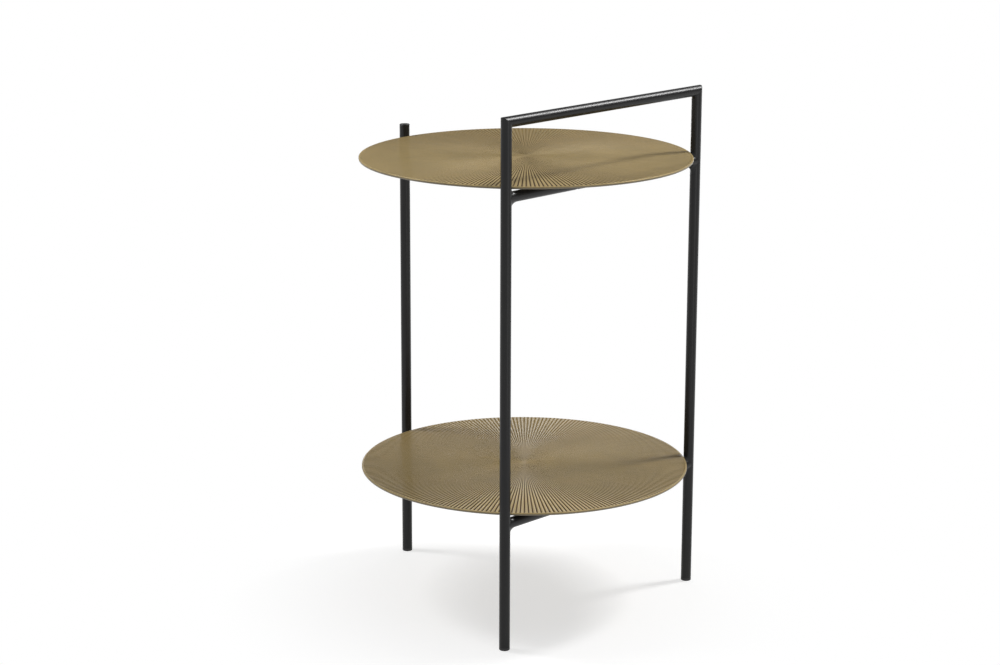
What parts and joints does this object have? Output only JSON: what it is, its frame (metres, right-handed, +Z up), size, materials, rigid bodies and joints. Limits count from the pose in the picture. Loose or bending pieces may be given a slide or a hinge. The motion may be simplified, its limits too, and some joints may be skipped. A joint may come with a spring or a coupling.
{
  "type": "tiered side table",
  "caption": "Slim side table: round ribbed brass-coloured trays, one above the other, in a black welded tube frame with a straight carrying handle.",
  "frame": {"origin": "on the floor, below the middle of the table's box, 7 mm in front of the trays' axis", "axes": "+Z up from the floor; -Y towards the side with the handle and the front legs, +Y towards the back leg; X from the left front leg to the right one"},
  "size_m": [0.3999, 0.4142, 0.628],
  "materials": {
    "frame_paint": "satin black powder coat on steel tube and welds",
    "tray_brass": "cast tray with an antique brass finish, fine radial ribs on top, lightly brushed rim",
    "glide_plastic": "moulded black plastic with a fine matt grain",
    "screw_steel": "bright zinc-plated steel"
  },
  "bodies": {
    "root": {"leg_left": "frame_paint", "leg_right": "frame_paint", "leg_back": "frame_paint", "handle_bar": "frame_paint", "upper_cross_bar": "frame_paint", "upper_stem_bar": "frame_paint", "lower_cross_bar": "frame_paint", "lower_stem_bar": "frame_paint", "upper_tray": "tray_brass", "lower_tray": "tray_brass", "upper_tray_screws": "screw_steel", "lower_tray_screws": "screw_steel", "glide_left": "glide_plastic", "glide_right": "glide_plastic", "glide_back": "glide_plastic", "back_leg_cap": "frame_paint", "upper_weld_left": "frame_paint", "upper_weld_right": "frame_paint", "upper_weld_back": "frame_paint", "upper_weld_tee": "frame_paint", "lower_weld_left": "frame_paint", "lower_weld_right": "frame_paint", "lower_weld_back": "frame_paint", "lower_weld_tee": "frame_paint", "handle_weld_left": "frame_paint", "handle_weld_right": "frame_paint"}
  },
  "joints": []
}
